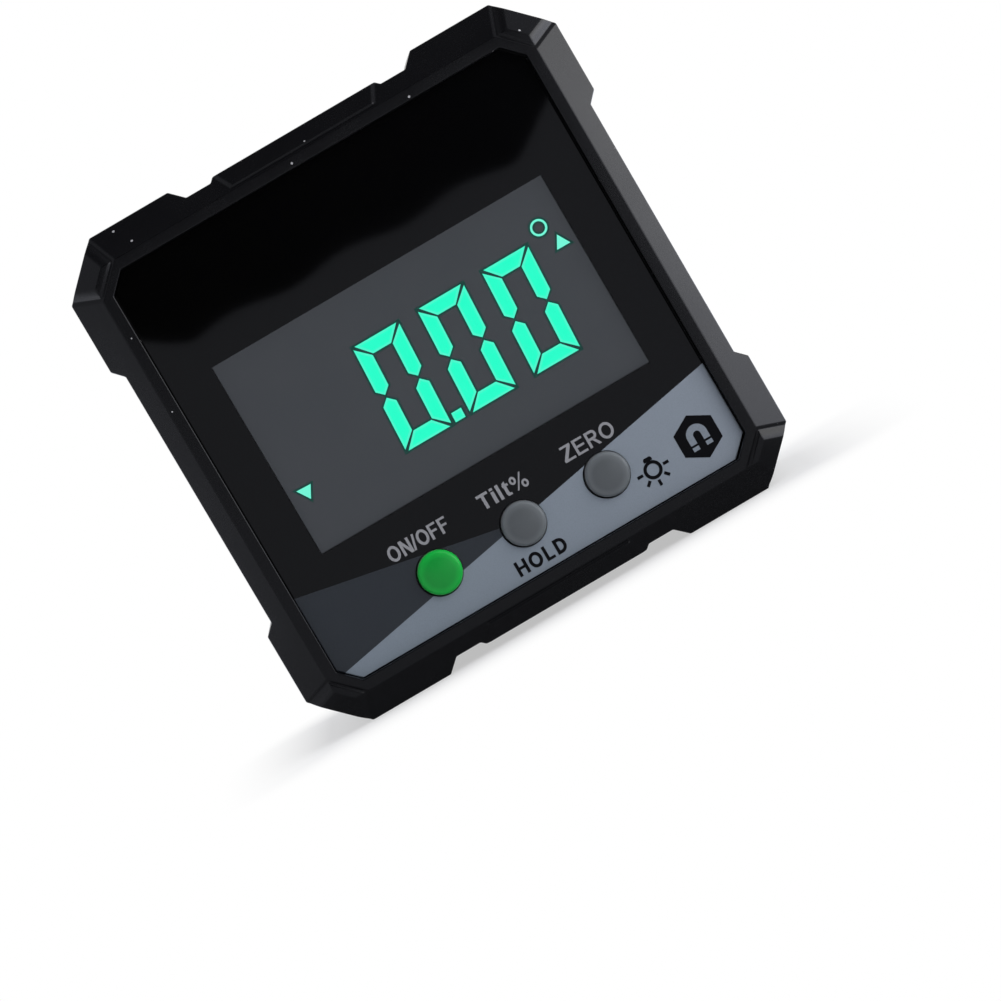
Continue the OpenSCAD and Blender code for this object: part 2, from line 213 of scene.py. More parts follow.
# A flat drawing in mm, X to the right and Y up from the base, becomes a thin layer on a face of the gauge
def layOnFace(bm, faceY, thickness):
    grown = bmesh.ops.extrude_face_region(bm, geom=bm.faces[:])
    moved = [item for item in grown["geom"] if isinstance(item, bmesh.types.BMVert)]
    bmesh.ops.translate(bm, verts=moved, vec=(0, 0, thickness))
    turn = Matrix(((mm, 0, 0, 0), (0, 0, -mm, faceY * mm), (0, mm, 0, 0), (0, 0, 0, 1)))
    bmesh.ops.transform(bm, matrix=turn, verts=bm.verts)
    bmesh.ops.recalc_face_normals(bm, faces=bm.faces)


def drawShape(bm, corners):
    return bm.faces.new([bm.verts.new((x, y, 0)) for x, y in corners])


def drawBar(bm, start, end, width):
    along = (end - start).normalized() * 0.5
    side = Vector((-along.y, along.x)) * width
    drawShape(bm, [start + side, start - side, end - side, end + side])


def drawRing(bm, middle, outer, inner):
    loops = []
    for radius in (outer, inner):
        made = bmesh.ops.create_circle(bm, segments=drawing["ringSteps"], radius=radius)
        bmesh.ops.translate(bm, verts=made["verts"], vec=(*middle, 0))
        loops += {edge for vert in made["verts"] for edge in vert.link_edges}
    bmesh.ops.bridge_loops(bm, edges=loops)


# Moulded black plastic of the housing, rear cover and door, with dust that gets denser towards the top
housing = {
    "colour": (8, 8, 10), "mottle": (12, 12, 14), "dustColour": (190, 190, 192), "ior": 1.47,
    "cloud": 7 * mm, "grain": 0.14 * mm, "grainDepth": 0.02 * mm, "grainStrength": 0.16,
    "dustGap": 2.4 * mm, "dustSize": 0.15 * mm, "dustTop": 60 * mm, "dustShows": 0.7,
    "roughness": 0.25, "cloudRough": 0.16, "grainRough": 0.1, "dustRough": 0.4,
    "edge": 0.12 * mm, "smooth": 32,
}
# Edges stay sharp inside the case, on the door's rails, round the magnets and behind the door's skin, in mm
sharpParts = {
    "frontWall": -11.4, "backWall": 13.6, "frontHalf": 27, "backHalf": 27.4, "highHalf": 27, "railHalf": 16,
    "magnetX": 19.85, "magnetFront": -4.5, "magnetBack": 7, "pocket": 4.3,
    "doorSkin": 13.2, "doorEnd": 28.4,
}


def mouldedBlack(look, name):
    f = Finish(name, {"IOR": look["ior"]})
    x, y, z = f.axes()
    grain = f.noise(look["grain"], 1.0)
    cloud = f.noise(look["cloud"], 4.0)
    values = {"Vector": f.place(), "Scale": 1 / look["dustGap"]}
    settled = z * (look["dustSize"] / look["dustGap"] / look["dustTop"])
    dust = f.node("TexVoronoi", None, values, "Distance") < settled
    base = f.mix(ink(look["colour"]), ink(look["mottle"]), cloud)
    f.feed("Base Color", f.mix(base, ink(look["dustColour"]), dust * look["dustShows"]))
    uneven = (cloud - 0.5) * look["cloudRough"] + (grain - 0.5) * look["grainRough"]
    f.feed("Roughness", look["roughness"] + uneven + dust * look["dustRough"])
    f.bump(grain, look["grainDepth"], look["grainStrength"])
    return f


def nearMagnet(x, y, z, row):
    aside = math.hypot(abs(x) - sharpParts["magnetX"], y - row)
    return z < -sharpParts["highHalf"] and aside < sharpParts["pocket"]


def frontEdges(x, y, z):
    within = abs(x) < sharpParts["frontHalf"] and abs(z) < sharpParts["highHalf"]
    inside = y > sharpParts["frontWall"] and within
    return not inside and not nearMagnet(x, y, z, sharpParts["magnetFront"])


def rearEdges(x, y, z):
    within = abs(x) < sharpParts["backHalf"] and abs(z) < sharpParts["highHalf"]
    inside = y < sharpParts["backWall"] and (within or abs(z) < sharpParts["railHalf"])
    return not inside and not nearMagnet(x, y, z, sharpParts["magnetBack"])


def doorEdges(x, y, z):
    return y > sharpParts["doorSkin"] or x > sharpParts["doorEnd"]


blackPlastic = mouldedBlack(housing, "blackPlastic")
shells = (
    ("frontShell", "front_housing", "gauge", frontEdges),
    ("rearShell", "rear_cover", "gauge", rearEdges),
    ("doorPanel", "battery_door", "door", doorEdges),
)
for pieceName, nodeName, body, chosen in shells:
    shell = mergedCopy(nodeName)
    soften(shell, housing["edge"], chosen)
    newPiece(pieceName, shell, [blackPlastic], body, [nodeName], housing["smooth"], True)
print("shells done")

# Printed faceplate: gloss black with a slate wedge, a silver foot and a clear window, lengths in mm
faceplate = {
    "front": -13.0, "frontPlay": 0.01, "edge": 0.12 * mm, "sharpAngle": 60, "holesWithin": 22.6,
    "shift": -0.09, "windowWide": 40.8, "windowLow": 18.3, "windowTop": 41.53, "cutWeld": 0.0001 * mm,
    "slateLine": ((-25.4, 15.76), (-3.17, 11.25)), "silverLine": ((-24.7, 6.12), (24.96, 15.39)),
    "inks": (
        ("blackPrint", (2, 2, 2), (4, 4, 5), 0.3),
        ("slatePrint", (42, 46, 51), (42, 46, 51), 0.25),
        ("silverPrint", (121, 131, 141), (132, 140, 150), 0.22),
    ),  # colour on the left, colour on the right, how strongly the flecks darken it; the silver's paler right side is painted light against the rim's shade
    "across": 50 * mm, "fleck": 0.11 * mm, "darken": 0.02, "ior": 1.49,
    "roughness": 0.03, "smear": 14 * mm, "smearRough": 0.02,
    "windowIor": 1.45, "clear": (0.975, 0.98, 0.98, 1),
    "facing": 0.3, "flat": 0.9,  # how far a face turns to the front to be printed, or to be seen through
}


def printInk(look, name, colour, farColour, flake):
    f = Finish(name, {"IOR": look["ior"]})
    x, y, z = f.axes()
    fleck = f.noise(look["fleck"], 0.0)
    smear = f.noise(look["smear"], 3.0)
    # Left to right the colour shifts; on the silver this is a painted lightening of the right side,
    # standing in for the light that the rim shades off there
    across = f.mix(ink(colour), ink(farColour), x * (1 / look["across"]) + 0.5)
    f.feed("Base Color", f.mix(across, (0, 0, 0, 1), (fleck - 0.5) * flake + look["darken"]))
    f.feed("Roughness", look["roughness"] + (smear - 0.5) * look["smearRough"])
    return f


# The window mirrors on its front only: on its back a ray would meet the plastic from inside
def clearWindow(look, name, shiny):
    f = Finish(name)
    f.tree.nodes.remove(f.shader)
    seen = f.node("BsdfTransparent", None, {"Color": look["clear"]})
    if shiny:
        shine = f.node("BsdfGlossy", None, {"Color": (1, 1, 1, 1), "Roughness": look["roughness"]})
        share = f.node("Fresnel", None, {"IOR": look["windowIor"]})
        seen = f.node("MixShader", None, {0: share, 1: seen, 2: shine})
    f.show(seen)
    return f


# Above 0 where a point lies over a line of the print
def lineSide(line, x, z):
    (x0, z0), (x1, z1) = line
    return z - z0 - (z1 - z0) / (x1 - x0) * (x - x0)


def makeFaceplate(look):
    def rimEdge(x, y, z):
        return y < look["front"] + look["frontPlay"] and max(abs(x), abs(z)) > look["holesWithin"]

    bm = mergedCopy("faceplate_lens")
    bmesh.ops.translate(bm, verts=bm.verts, vec=(look["shift"] * mm, 0, 0))
    soften(bm, look["edge"], rimEdge, look["sharpAngle"])
    bmesh.ops.triangulate(bm, faces=bm.faces)
    halfWide, low, top = look["windowWide"] / 2, look["windowLow"], look["windowTop"]
    cuts = [((-halfWide, 0), (1, 0)), ((halfWide, 0), (1, 0)), ((0, low), (0, 1)), ((0, top), (0, 1))]
    for start, end in (look["slateLine"], look["silverLine"]):
        cuts.append((start, (start[1] - end[1], end[0] - start[0])))
    for (x, z), (acrossX, acrossZ) in cuts:
        everything = bm.verts[:] + bm.edges[:] + bm.faces[:]
        bmesh.ops.bisect_plane(bm, geom=everything, dist=look["cutWeld"], plane_co=(x * mm, 0, z * mm),
                               plane_no=(acrossX, 0, acrossZ))
    bm.normal_update()
    for face in bm.faces:
        middle = face.calc_center_median() / mm
        x, z = middle.x, middle.z
        inWindow = abs(x) < halfWide and low < z < top
        facing = face.normal.y < -look["facing"]
        if inWindow and abs(face.normal.y) > look["flat"]:
            face.material_index = 3 if facing else 4
        elif facing and lineSide(look["silverLine"], x, z) < 0:
            face.material_index = 2
        elif facing and lineSide(look["slateLine"], x, z) < 0 and x < 0:
            face.material_index = 1
    finishes = [printInk(look, *row) for row in look["inks"]]
    finishes += [clearWindow(look, "windowFront", True), clearWindow(look, "windowBack", False)]
    newPiece("facePrint", bm, finishes, "gauge", ["faceplate_lens"])


makeFaceplate(faceplate)
print("faceplate done")

# Push buttons: turned from a profile of radius and depth behind the rim, in mm
keys = {
    "power": (-10.4, (0, 151, 52)), "tilt": (0.0, (88, 92, 95)), "zero": (10.4, (88, 92, 95)),
    "rim": -14.0, "height": 10.3, "radius": 2.45, "flat": 1.95, "top": 0.1, "dome": 0.25, "round": 0.5,
    "flange": 3.3, "flangeFront": 4.3, "flangeBack": 5.5,
    "domeSteps": 8, "roundSteps": 6, "steps": 72, "weld": 0.001 * mm, "smooth": 40,
    # The painted highlight on the key's edge: where it starts, how far it grows and how much paler it makes
    # the colour
    "paintedHighlightFrom": 1.55, "paintedHighlightOver": 0.85, "paintedHighlight": 1.18, "cloud": 1.6 * mm, "cloudShare": 0.92,
    "ior": 1.5, "sheen": 0.25, "sheenRough": 0.35, "roughness": 0.34,
    "grain": 0.09 * mm, "grainRough": 0.12, "grainDepth": 0.01 * mm, "grainStrength": 0.12,
}


def keyPlastic(look, name, across, colour):
    fixed = {"IOR": look["ior"], "Sheen Weight": look["sheen"], "Sheen Roughness": look["sheenRough"]}
    f = Finish(name, fixed)
    x, y, z = f.axes()
    grain = f.noise(look["grain"], 1.0)
    cloud = f.noise(look["cloud"], 3.0)
    # Painted highlight: the colour turns paler over the key's rounded edge, all round, standing in for
    # light caught by the rim
    out = ((x - across * mm) ** 2.0 + (z - look["height"] * mm) ** 2.0) ** 0.5
    rim = f.most((out - look["paintedHighlightFrom"] * mm) * (1 / (look["paintedHighlightOver"] * mm)), 0.0)
    body = f.mix(ink(colour), ink(colour, look["cloudShare"]), cloud)
    f.feed("Base Color", f.mix(body, ink(colour, look["paintedHighlight"]), rim))
    f.feed("Roughness", look["roughness"] + (grain - 0.5) * look["grainRough"])
    f.bump(grain, look["grainDepth"], look["grainStrength"])
    return f


def makeKey(look, key):
    across, colour = look[key]
    flat, top, dome, bend = look["flat"], look["top"], look["dome"], look["round"]
    domeSteps, roundSteps = look["domeSteps"], look["roundSteps"]
    points = [(flat * s / domeSteps, top + dome * (s / domeSteps) ** 2) for s in range(domeSteps + 1)]
    for step in range(1, roundSteps + 1):
        turn = math.radians(90 - 90 / roundSteps * step)
        points.append((flat + bend * math.cos(turn), top + dome + bend - bend * math.sin(turn)))
    points += [(look["radius"], look["flangeFront"]), (look["flange"], look["flangeFront"]),
               (look["flange"], look["flangeBack"]), (0, look["flangeBack"])]
    bm = bmesh.new()
    chain = [bm.verts.new((r * mm, (depth + look["rim"]) * mm, 0)) for r, depth in points]
    edges = [bm.edges.new(pair) for pair in zip(chain, chain[1:])]
    bmesh.ops.spin(bm, geom=chain + edges, cent=(0, 0, 0), axis=(0, 1, 0), angle=math.tau,
                   steps=look["steps"], use_merge=True)
    bmesh.ops.remove_doubles(bm, verts=bm.verts, dist=look["weld"])
    bmesh.ops.recalc_face_normals(bm, faces=bm.faces)
    bmesh.ops.translate(bm, verts=bm.verts, vec=(across * mm, 0, look["height"] * mm))
    finish = keyPlastic(look, key + "Plastic", across, colour)
    newPiece(key + "Cap", bm, [finish], key + "_key", [key + "_button"], look["smooth"])


for key in ("power", "tilt", "zero"):
    makeKey(keys, key)
print("buttons done")

# Readout: lit segments and marks on the display glass, each with a dark outline under it, lengths in mm
readout = {
    "face": -10.0, "lift": 0.02, "strength": 1.04, "roughness": 0.3, "unlit": (0.0, 0.02, 0.015, 1),
    "cloud": 1.3 * mm, "core": ((14, 255, 200), (34, 255, 204)), "rim": ((64, 250, 202), (78, 250, 208)),
    "mark": ((104, 248, 212), (122, 250, 220)), "outline": ((2, 58, 50), (0, 48, 42)),
    "digits": (-3.84, 4.23, 12.28), "middle": 29.43, "rise": 0.0062, "slant": 2.8,
    "halfWide": 2.86, "halfHigh": 6.29, "stroke": 1.62, "gap": 0.13, "tip": 0.75, "tipGap": 0.17,
    "rimWide": 0.24, "outlineWide": 0.23, "notch": 0.83, "neck": 0.11,
    "point": (-0.82, 23.17, 1.22, 1.1), "pointLean": 0.05, "ring": ((17.44, 36.74), 0.935, 0.69),
    "triangles": (((17.95, 33.67), (19.6, 33.66), (18.76, 35.12)),
                  ((-19.4, 25.44), (-17.66, 25.37), (-18.44, 23.95))),
}


def segmentGlow(look, name, part):
    colour, farColour = look[part]
    f = Finish(name, {"Roughness": look["roughness"], "Base Color": look["unlit"],
                      "Emission Strength": look["strength"]})
    f.feed("Emission Color", f.mix(ink(colour), ink(farColour), f.noise(look["cloud"], 2.0)))
    return f


# Leans and lifts a point of a digit to its place on the glass
def digitPlace(look, across, x, y):
    lean = math.tan(math.radians(look["slant"])) * y
    return across + x + lean, look["middle"] + look["rise"] * across + y


def drawDigit(bm, look, across):
    w, h, s, g = look["halfWide"], look["halfHigh"], look["stroke"], look["gap"]
    shoulder = look["tip"] + look["tipGap"]
    bar = [(-w + 2 * g, h), (w - 2 * g, h), (w - s - g, h - s), (-w + s + g, h - s)]
    post = [(-w, h - 2 * g), (-w + s, h - s - g), (-w + s, shoulder), (-w + s / 2, look["tipGap"]),
            (-w, shoulder)]
    for flipY in (-1, 1):
        for shape, flips in ((bar, (1,)), (post, (-1, 1))):
            for flipX in flips:
                drawShape(bm, [digitPlace(look, across, flipX * x, flipY * y) for x, y in shape])


# One side of a digit's outline, out from its middle line by wide and high, pinched where the posts meet
def outlineLoop(look, across, wide, high, waist):
    notch = look["notch"]
    half = [(wide, high), (wide, notch), (waist, 0), (wide, -notch), (wide, -high)]
    whole = half + [(-x, -y) for x, y in half]
    return [digitPlace(look, across, x, y) for x, y in whole]


def drawDigitOutline(bm, look, across):
    w, h, s, e = look["halfWide"], look["halfHigh"], look["stroke"], look["outlineWide"]
    outer = outlineLoop(look, across, w + e, h + e, w - s / 2 + look["neck"])
    inner = outlineLoop(look, across, w - s - e, h - s - e, w - s / 2 - look["neck"])
    for i in range(len(outer)):
        drawShape(bm, [outer[i - 1], outer[i], inner[i], inner[i - 1]])


# A copy of a small shape whose sides lie further out
def drawGrown(bm, corners, out):
    points = [Vector(corner) for corner in corners]
    middle = sum(points, Vector((0, 0))) / len(points)
    sides = list(zip(points, points[1:] + points[:1]))
    area = abs(sum((a - middle).cross(b - middle) for a, b in sides)) / 2
    reach = 2 * area / sum((b - a).length for a, b in sides)
    drawShape(bm, [middle + (point - middle) * (reach + out) / reach for point in points])


def pointCorners(look):
    left, low, wide, high = look["point"]
    right, top, lean = left + wide, low + high, look["pointLean"]
    return [(left, low), (right, low), (right + lean, top), (left + lean, top)]


def makeReadout(look):
    middle, outer, inner = look["ring"]
    lit = look["face"] - look["lift"]
    bm = bmesh.new()
    for across in look["digits"]:
        drawDigit(bm, look, across)
    drawShape(bm, pointCorners(look))
    bm.normal_update()
    border = bmesh.ops.inset_individual(bm, faces=bm.faces[:], thickness=look["rimWide"],
                                        use_even_offset=True)
    for face in border["faces"]:
        face.material_index = 1
    layOnFace(bm, lit, look["lift"])
    finishes = [segmentGlow(look, "segmentCore", "core"), segmentGlow(look, "segmentRim", "rim")]
    newPiece("readoutDigits", bm, finishes)
    bm = bmesh.new()
    drawRing(bm, middle, outer, inner)
    for corners in look["triangles"]:
        drawShape(bm, corners)
    layOnFace(bm, lit, look["lift"])
    newPiece("readoutMarks", bm, [segmentGlow(look, "segmentMark", "mark")])
    bm = bmesh.new()
    for across in look["digits"]:
        drawDigitOutline(bm, look, across)
    for corners in (pointCorners(look), *look["triangles"]):
        drawGrown(bm, corners, look["outlineWide"])
    drawRing(bm, middle, outer + look["outlineWide"], inner - look["outlineWide"])
    bmesh.ops.remove_doubles(bm, verts=bm.verts, dist=drawing["weld"])
    layOnFace(bm, look["face"], look["lift"])
    newPiece("readoutOutlines", bm, [segmentGlow(look, "segmentOutline", "outline")])


makeReadout(readout)
print("readout done")

# Lettering and symbols printed on the faceplate, in mm: each letter stands between its left and right side
lettering = {
    "face": -13.0, "lift": 0.02, "thinner": 0.85, "ovalSteps": 40, "bowlSteps": 8, "bowl": 0.46,
    "inks": {"light": (150, 150, 154), "dark": (4, 4, 7), "silver": (132, 140, 150)},
    "ior": 1.3, "roughness": 0.1, "fleck": 0.2 * mm, "fleckShare": 0.86,
    "labels": (
        ("labelPower", "light", 0.3, (13.65, 15.39),
         (("O", -14.35, -12.98), ("N", -12.77, -11.58), ("/", -11.55, -10.86),
          ("O", -10.8, -9.44), ("F", -9.27, -8.27), ("F", -8.05, -7.07))),
        ("labelTilt", "light", 0.36, (13.61, 15.36),
         (("T", -3.12, -1.76), ("i", -1.49, -1.1), ("l", -0.78, -0.42), ("t", -0.08, 0.61),
          ("%", 0.83, 2.71))),
        ("labelZero", "light", 0.3, (13.55, 15.34),
         (("Z", 7.14, 8.49), ("E", 8.72, 9.97), ("R", 10.25, 11.64), ("O", 11.83, 13.43))),
        ("labelHold", "dark", 0.36, (5.42, 7.12),
         (("H", -3.2, -1.9), ("O", -1.63, -0.11), ("L", 0.2, 1.2), ("D", 1.55, 2.83))),
    ),  # name, ink, stroke, lowest and highest line, letters
    "lamp": {"middle": (14.85, 8.23), "outer": 1.04, "inner": 0.67, "capSunk": 0.02, "capWide": 1.0,
             "capHigh": 0.47, "capCorner": 0.2, "capTop": 0.7, "rays": (180, 225, 270, 315, 360),
             "rayIn": 1.24, "rayOut": 1.92, "rayWide": 0.34},
    "magnet": {"middle": (20.82, 8.87), "high": 5.2, "wide": 4.64, "arcUp": 0.24, "arcSteps": 24,
               "outer": 1.18, "inner": 0.43, "arm": 0.84, "split": 0.24, "foot": 0.46},
}


def letterInk(look, name, tone):
    f = Finish(name, {"Roughness": look["roughness"], "IOR": look["ior"]})
    colour = look["inks"][tone]
    fleck = f.noise(look["fleck"], 1.0)
    f.feed("Base Color", f.mix(ink(colour), ink(colour, look["fleckShare"]), fleck))
    return f


# Straight parts of a letter w wide and h high: uprights are s wide, level bars b high
def straightParts(letter, w, h, s, b):
    low, up, left, right = 0.51 * h - b / 2, 0.51 * h + b / 2, (w - s) / 2, (w + s) / 2
    lean, turn, foot, knee, under = 1.12 * s, 1.5 * s, 0.12 * w, 0.415 * h, h - b
    stem, dot, armLow, armTop = 0.76 * h, 0.84 * h, 0.62 * h, 0.78 * h
    meet = h * s / (w - lean)
    parts = {
        "E": [[(0, 0), (w, 0), (w, b), (s, b), (s, low), (0.95 * w, low), (0.95 * w, up), (s, up),
               (s, under), (w, under), (w, h), (0, h)]],
        "F": [[(0, 0), (s, 0), (s, low), (0.9 * w, low), (0.9 * w, up), (s, up), (s, under), (w, under),
               (w, h), (0, h)]],
        "H": [[(0, 0), (s, 0), (s, low), (w - s, low), (w - s, 0), (w, 0), (w, h), (w - s, h), (w - s, up),
               (s, up), (s, h), (0, h)]],
        "L": [[(0, 0), (w, 0), (w, b), (s, b), (s, h), (0, h)]],
        "N": [[(0, 0), (s, 0), (s, h - meet), (w - lean, 0), (w, 0), (w, h), (w - s, h), (w - s, meet),
               (lean, h), (0, h)]],
        "R": [[(0, 0), (s, 0), (s, knee), (0, knee)],
              [(0.42 * w, knee), (0.42 * w + turn * 0.75, knee), (w, 0), (w - lean, 0)]],
        "T": [[(left, 0), (right, 0), (right, under), (w, under), (w, h), (0, h), (0, under),
               (left, under)]],
        "Z": [[(0, 0), (w, 0), (w, b), (turn, b), (w, under), (w, h), (0.08 * w, h), (0.08 * w, under),
               (w - turn, under), (0, b)]],
        "i": [[(0, 0), (w, 0), (w, stem), (0, stem)], [(0, dot), (w, dot), (w, h), (0, h)]],
        "l": [[(0, 0), (w, 0), (w, h), (0, h)]],
        "t": [[(foot + 0.3 * s, 0), (w, 0), (w, 0.8 * b), (foot + 1.2 * s, 0.85 * b), (foot + s, 1.3 * b),
               (foot + s, armLow), (w, armLow), (w, armTop), (foot + s, armTop), (foot + s, 0.97 * h),
               (foot, 0.87 * h), (foot, armTop), (0, armTop), (0, armLow), (foot, armLow), (foot, b)]],
        "/": [[(0, 0), (0.85 * s, 0), (w, h), (w - 0.85 * s, h)]],
        "%": [[(0.2 * w, 0), (0.2 * w + 0.55 * s, 0), (0.83 * w, h), (0.83 * w - 0.55 * s, h)]],
    }
    return parts.get(letter, [])


# Round parts of a letter: their boxes as shares of its width and height, thickness, bowl or whole oval
roundParts = {
    "O": (((0, -0.01, 1, 1.01), 1, False),),
    "D": (((0, 0, 1, 1), 1, True),),
    "R": (((0, 0.42, 0.92, 1), 0.95, True),),
    "%": (((0, 0.45, 0.405, 0.97), 0.66, False), ((0.585, -0.04, 1, 0.485), 0.66, False)),
}


def drawRound(bm, look, box, stroke, bowl):
    left, low, right, high = box
    if bowl:
        corner, *rounded = drawShape(bm, [(left, low), (right, low), (right, high), (left, high)]).verts[:3]
        bmesh.ops.bevel(bm, geom=rounded, offset=(high - low) * look["bowl"], offset_type="OFFSET",
                        segments=look["bowlSteps"], profile=0.5, affect="VERTICES", clamp_overlap=False,
                        material=-1)
    else:
        made = bmesh.ops.create_circle(bm, cap_ends=True, segments=look["ovalSteps"], radius=0.5)["verts"]
        bmesh.ops.scale(bm, verts=made, vec=(right - left, high - low, 1))
        bmesh.ops.translate(bm, verts=made, vec=((left + right) / 2, (low + high) / 2, 0))
        corner = made[0]
    whole = corner.link_faces[0]
    bmesh.ops.inset_region(bm, faces=[whole], thickness=stroke, use_even_offset=True, use_boundary=True)
    bmesh.ops.delete(bm, geom=[whole], context="FACES_ONLY")


def makeLabel(look, name, stroke, heights, letters, finish):
    bm = bmesh.new()
    low, tall = heights[0], heights[1] - heights[0]
    for letter, left, right in letters:
        wide = right - left
        for corners in straightParts(letter, wide, tall, stroke, stroke * look["thinner"]):
            drawShape(bm, [(left + x, low + y) for x, y in corners])
        for (x0, y0, x1, y1), share, bowl in roundParts.get(letter, ()):
            box = (left + x0 * wide, low + y0 * tall, left + x1 * wide, low + y1 * tall)
            drawRound(bm, look, box, stroke * share, bowl)
    layOnFace(bm, look["face"], look["lift"])
    newPiece(name, bm, [finish], "gauge")


def drawLamp(bm, look):
    x, y = look["middle"]
    drawRing(bm, (x, y), look["outer"], look["inner"])
    wide, foot = look["capWide"] / 2, y + look["outer"] - look["capSunk"]
    top, slim = foot + look["capHigh"], wide * look["capTop"]
    shoulder = top - look["capCorner"]
    drawShape(bm, [(x - wide, foot), (x + wide, foot), (x + wide, shoulder), (x + slim, top),
                   (x - slim, top), (x - wide, shoulder)])
    for degrees in look["rays"]:
        out = Vector((math.cos(math.radians(degrees)), math.sin(math.radians(degrees))))
        middle = Vector((x, y))
        drawBar(bm, middle + out * look["rayIn"], middle + out * look["rayOut"], look["rayWide"])


def drawHexagon(bm, look):
    made = bmesh.ops.create_circle(bm, segments=6, radius=1, cap_ends=True)
    tall = look["high"] / 2
    slim = look["wide"] / 2 / math.cos(math.radians(30))
    bmesh.ops.scale(bm, verts=made["verts"], vec=(slim, tall, 1))
    bmesh.ops.translate(bm, verts=made["verts"], vec=(*look["middle"], 0))


def drawHorseshoe(bm, look):
    x, y = look["middle"][0], look["middle"][1] + look["arcUp"]
    outer, inner, arm = look["outer"], look["inner"], look["arm"]
    footTop = arm + look["split"]
    rim = [bm.verts.new((x + inner, y, 0)), bm.verts.new((x + outer, y, 0))]
    start = bm.edges.new(rim)
    bmesh.ops.spin(bm, geom=rim + [start], cent=(x, y, 0), axis=(0, 0, 1), angle=math.pi,
                   steps=look["arcSteps"])
    for side in (-1, 1):
        for high, low in ((0, arm), (footTop, footTop + look["foot"])):
            drawShape(bm, [(x + side * inner, y - high), (x + side * outer, y - high),
                           (x + side * outer, y - low), (x + side * inner, y - low)])
    bmesh.ops.remove_doubles(bm, verts=bm.verts, dist=drawing["weld"])


inks = {tone: letterInk(lettering, tone + "Ink", tone) for tone in lettering["inks"]}
for name, tone, stroke, heights, letters in lettering["labels"]:
    makeLabel(lettering, name, stroke, heights, letters, inks[tone])
symbols = (
    ("markLamp", drawLamp, "lamp", "dark", 0.0),
    ("markMagnetField", drawHexagon, "magnet", "dark", 0.0),
    ("markMagnetShape", drawHorseshoe, "magnet", "silver", lettering["lift"]),
)
for name, draw, part, tone, over in symbols:
    bm = bmesh.new()
    draw(bm, lettering[part])
    layOnFace(bm, lettering["face"] - over, lettering["lift"])
    newPiece(name, bm, [inks[tone]], "gauge")
print("lettering done")

# Display glass, lit from behind: its grey glow is partly backlight bleed and partly painted light standing
# in for front light, so that the shade of the window's walls hardly shows on it
display = {
    "glow": (60, 63, 68), "glowFar": (64, 66, 70), "body": (30, 31, 34), "bodyFar": (36, 37, 40),
    "strength": 0.77, "roughness": 0.25, "haze": 5 * mm,
}


def displayGlass(look):
    f = Finish("displayGlass", {"Roughness": look["roughness"], "Emission Strength": look["strength"]})
    haze = f.noise(look["haze"], 3.0)
    f.feed("Base Color", f.mix(ink(look["body"]), ink(look["bodyFar"]), haze))
    f.feed("Emission Color", f.mix(ink(look["glow"]), ink(look["glowFar"]), haze))
    return f


# Plated metal: colour, roughness, size of the streaks
metals = {
    "steel": ((150, 152, 156), 0.32, 0.12 * mm), "nickel": ((196, 198, 202), 0.2, 0.2 * mm),
    "streakShare": 0.8, "streakRough": 0.2, "streakDepth": 0.006 * mm, "streakStrength": 0.1,
}


def platedMetal(look, name, kind):
    colour, roughness, size = look[kind]
    f = Finish(name, {"Metallic": 1.0})
    streak = f.noise(size, 3.0)
    f.feed("Base Color", f.mix(ink(colour), ink(colour, look["streakShare"]), streak))
    f.feed("Roughness", roughness + (streak - 0.5) * look["streakRough"])
    f.bump(streak, look["streakDepth"], look["streakStrength"])
    return f


# Pieces that keep their solid: colour, roughness, size of the specks
plain = {
    "share": 0.75, "specksRough": 0.15,
    "pieces": (
        ("backlight", (216, 232, 224), 0.3, 3 * mm), ("lens_tape", (30, 30, 30), 0.8, 0.5 * mm),
        ("zebra_strip", (42, 42, 48), 0.6, 0.4 * mm), ("main_board", (16, 84, 46), 0.4, 0.6 * mm),
        ("controller_chip", (34, 34, 36), 0.5, 0.2 * mm), ("tilt_sensor", (34, 34, 36), 0.45, 0.2 * mm),
        ("switch_bodies", (40, 40, 43), 0.5, 0.3 * mm), ("power_plunger", (200, 200, 192), 0.5, 0.3 * mm),
        ("tilt_plunger", (200, 200, 192), 0.5, 0.3 * mm), ("zero_plunger", (200, 200, 192), 0.5, 0.3 * mm),
    ),
}


def plainStuff(look, name, colour, roughness, size):
    f = Finish(name)
    speck = f.noise(size, 2.0)
    f.feed("Base Color", f.mix(ink(colour), ink(colour, look["share"]), speck))
    f.feed("Roughness", roughness + (speck - 0.5) * look["specksRough"])
    return f


# Cells: a jacket with a pale band below the bright cap
cells = {
    "jacket": (40, 52, 62), "jacketShare": 0.85, "band": (150, 152, 150), "cap": (196, 198, 202),
    "capFrom": 22.6 * mm, "bandFrom": 17 * mm, "footTo": -20.3 * mm, "capMetal": 0.9, "bandMetal": 0.4,
    "fleck": 0.4 * mm, "roughness": 0.34, "fleckRough": 0.1,
}


def cellJacket(look, name, side):
    f = Finish(name)
    x, y, z = f.axes()
    along = x * side
    metal = (along > look["capFrom"]) + (along < look["footTo"])
    band = (along > look["bandFrom"]) * (along < look["capFrom"])
    fleck = f.noise(look["fleck"], 2.0)
    jacket = f.mix(ink(look["jacket"]), ink(look["jacket"], look["jacketShare"]), fleck)
    f.feed("Base Color", f.mix(f.mix(jacket, ink(look["band"]), band), ink(look["cap"]), metal))
    f.feed("Metallic", metal * look["capMetal"] + band * look["bandMetal"])
    f.feed("Roughness", look["roughness"] + (fleck - 0.5) * look["fleckRough"])
    return f


def dressNode(nodeName, finish):
    data = nodes[nodeName].data
    data.materials.clear()
    data.materials.append(finish.block)


